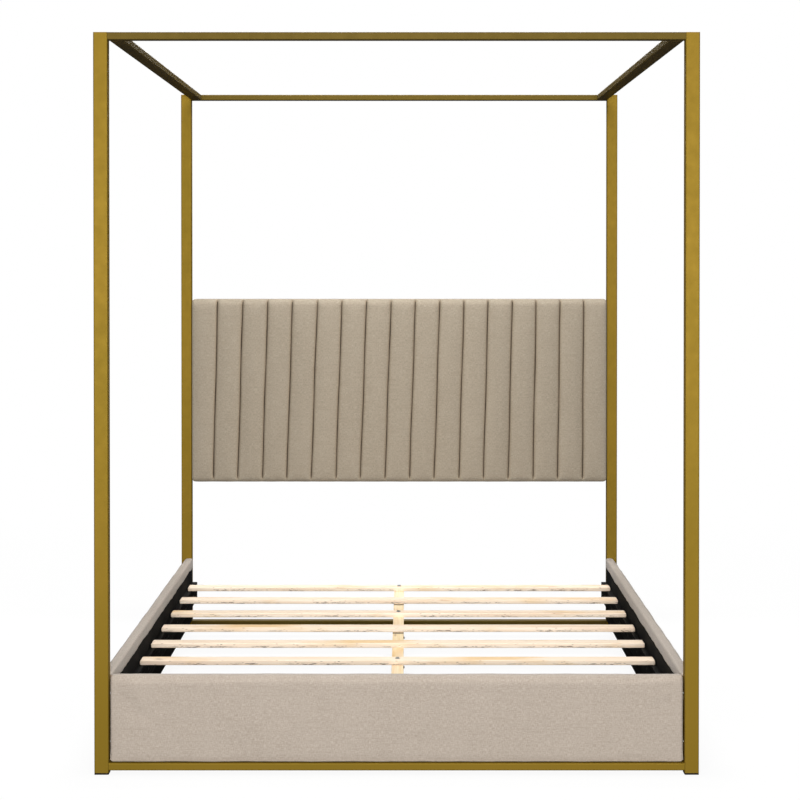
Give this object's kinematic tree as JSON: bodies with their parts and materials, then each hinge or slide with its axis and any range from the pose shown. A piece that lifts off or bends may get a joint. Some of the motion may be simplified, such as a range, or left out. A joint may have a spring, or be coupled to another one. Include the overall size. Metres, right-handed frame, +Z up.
{
  "type": "four poster canopy bed",
  "caption": "Four poster bed with a square tube canopy frame, channelled upholstered headboard, padded foot and side panels and a slatted base on adjustable centre legs.",
  "frame": {"origin": "on the floor at the middle of the bed's footprint", "axes": "+Z up, +Y towards the headboard, +X to the right when looking at the footboard from outside"},
  "size_m": [1.61, 2.143, 1.975],
  "materials": {
    "gold_metal": "satin powder coat, warm antique gold",
    "black_plastic": "matte moulded",
    "leveler_plastic": "matte moulded",
    "zinc_steel": "bright zinc plate",
    "black_steel": "satin black",
    "panel_board": "raw board",
    "foam": "open cell foam",
    "cover_fabric": "soft plain weave",
    "black_lining": "non-woven lining",
    "black_wood": "black paint on softwood",
    "slat_wood": "unfinished sawn pine",
    "beam_wood": "unfinished planed pine"
  },
  "bodies": {
    "bed": {"post_front_left": "gold_metal", "post_front_right": "gold_metal", "post_rear_left": "gold_metal", "post_rear_right": "gold_metal", "post_top_caps": "gold_metal", "post_foot_pads": "black_plastic", "post_hole_plugs": "gold_metal", "top_beam_front": "gold_metal", "top_beam_rear": "gold_metal", "top_beam_left": "gold_metal", "top_beam_right": "gold_metal", "bottom_rail_front": "gold_metal", "bottom_rail_rear": "gold_metal", "beam_end_blocks": "zinc_steel", "side_beam_stubs": "zinc_steel", "stub_screws": "black_steel", "frame_bolts": "zinc_steel", "headboard_core": "panel_board", "headboard_foam": "foam", "headboard_cover": "cover_fabric", "headboard_back_lining": "black_lining", "footboard_core": "panel_board", "footboard_foam": "foam", "footboard_cover": "cover_fabric", "footboard_lining": "black_lining", "side_rail_left_core": "panel_board", "side_rail_left_foam": "foam", "side_rail_left_cover": "cover_fabric", "side_rail_left_lining": "black_lining", "side_rail_right_core": "panel_board", "side_rail_right_foam": "foam", "side_rail_right_cover": "cover_fabric", "side_rail_right_lining": "black_lining", "rail_hooks_left": "zinc_steel", "rail_hooks_right": "zinc_steel", "hook_screws": "zinc_steel", "slat_ledger_left": "black_wood", "slat_ledger_right": "black_wood", "ledger_screws": "black_steel", "slat_1": "slat_wood", "slat_2": "slat_wood", "slat_3": "slat_wood", "slat_4": "slat_wood", "slat_5": "slat_wood", "slat_6": "slat_wood", "slat_7": "slat_wood", "slat_8": "slat_wood", "centre_beam_front": "beam_wood", "centre_beam_middle": "beam_wood", "centre_beam_rear": "beam_wood", "beam_joiners": "black_plastic", "centre_leg_front": "black_steel", "centre_leg_middle": "black_steel", "centre_leg_rear": "black_steel", "leg_inserts": "black_plastic", "leg_bolts": "zinc_steel"},
    "leveler_front": {"leveler_front": "leveler_plastic"},
    "leveler_middle": {"leveler_middle": "leveler_plastic"},
    "leveler_rear": {"leveler_rear": "leveler_plastic"}
  },
  "joints": [
    {"name": "leveler_front_screw", "type": "slide", "parent": "bed", "child": "leveler_front", "axis": [0, 0, -1], "range_m": [-0.005, 0.01]},
    {"name": "leveler_middle_screw", "type": "slide", "parent": "bed", "child": "leveler_middle", "axis": [0, 0, -1], "range_m": [-0.005, 0.01]},
    {"name": "leveler_rear_screw", "type": "slide", "parent": "bed", "child": "leveler_rear", "axis": [0, 0, -1], "range_m": [-0.005, 0.01]}
  ]
}
